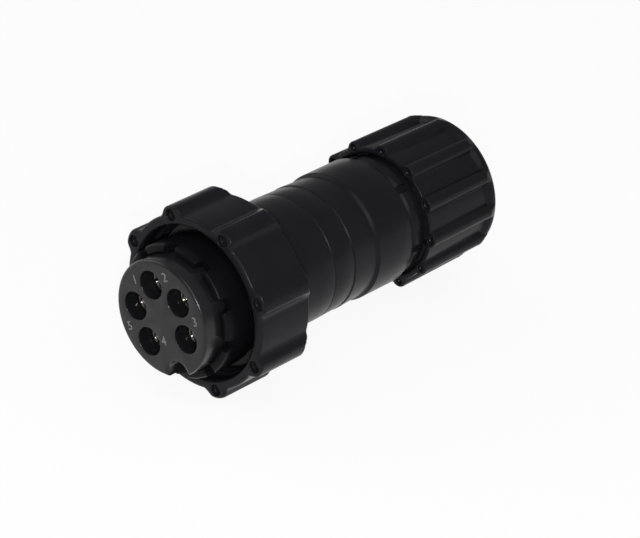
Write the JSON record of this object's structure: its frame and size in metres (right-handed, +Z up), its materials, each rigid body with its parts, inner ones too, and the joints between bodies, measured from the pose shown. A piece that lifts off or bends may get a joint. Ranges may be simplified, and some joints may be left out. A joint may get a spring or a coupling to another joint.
{
  "type": "circular power plug connector",
  "caption": "Circular plastic cable plug with socket contacts in a round insulator, a ribbed threaded coupling nut in front and a ribbed cable gland nut behind.",
  "frame": {"origin": "centre of the contact insert's flat front face, on the plug's axis", "axes": "+X along the plug's axis from the contact face towards the cable; +Z up as it lies on its side on two ribs of the coupling nut"},
  "size_m": [0.078, 0.0352, 0.0352],
  "materials": {
    "coupling_nut": "satin black moulded nylon",
    "housing": "satin black moulded nylon",
    "gland_nut": "satin black moulded nylon",
    "lock_ring": "satin black moulded nylon",
    "insert": "fine matt dark grey insulator",
    "cage": "satin black moulded nylon",
    "washer": "natural white slip ring",
    "rubber": "matt black rubber",
    "contact": "silver-plated brass",
    "steel": "bright zinc-plated steel"
  },
  "bodies": {
    "plug_body": {"nut_snap_ring": "steel", "front_shell": "housing", "insert_lock_ring": "lock_ring", "face_seal": "rubber", "contact_insert": "insert", "socket_contact_1": "contact", "socket_contact_2": "contact", "socket_contact_3": "contact", "socket_contact_4": "contact", "socket_contact_5": "contact", "terminal_screw_1": "steel", "terminal_screw_2": "steel", "terminal_screw_3": "steel", "terminal_screw_4": "steel", "terminal_screw_5": "steel", "shell_o_ring": "rubber", "rear_housing": "housing", "cable_seal": "rubber", "seal_washer": "washer"},
    "coupling_nut": {"coupling_nut": "coupling_nut"},
    "clamp_cage": {"clamp_cage": "cage"},
    "gland_nut": {"gland_nut": "gland_nut"}
  },
  "joints": [
    {"name": "coupling_nut_turn", "type": "hinge", "parent": "plug_body", "child": "coupling_nut", "pos_m": [0.0148, 0, 0], "axis": [1, 0, 0], "continuous": true},
    {"name": "gland_travel", "type": "slide", "parent": "plug_body", "child": "clamp_cage", "axis": [1, 0, 0], "range_m": [-0.0024, 0.008]},
    {"name": "gland_turn", "type": "hinge", "parent": "clamp_cage", "child": "gland_nut", "pos_m": [0.0682, 0, 0], "axis": [1, 0, 0], "range_deg": [-431, 1439]}
  ],
  "couplings": [
    {"joint": "gland_travel", "follows": "gland_turn", "m_per_rad": 0.00031831}
  ]
}
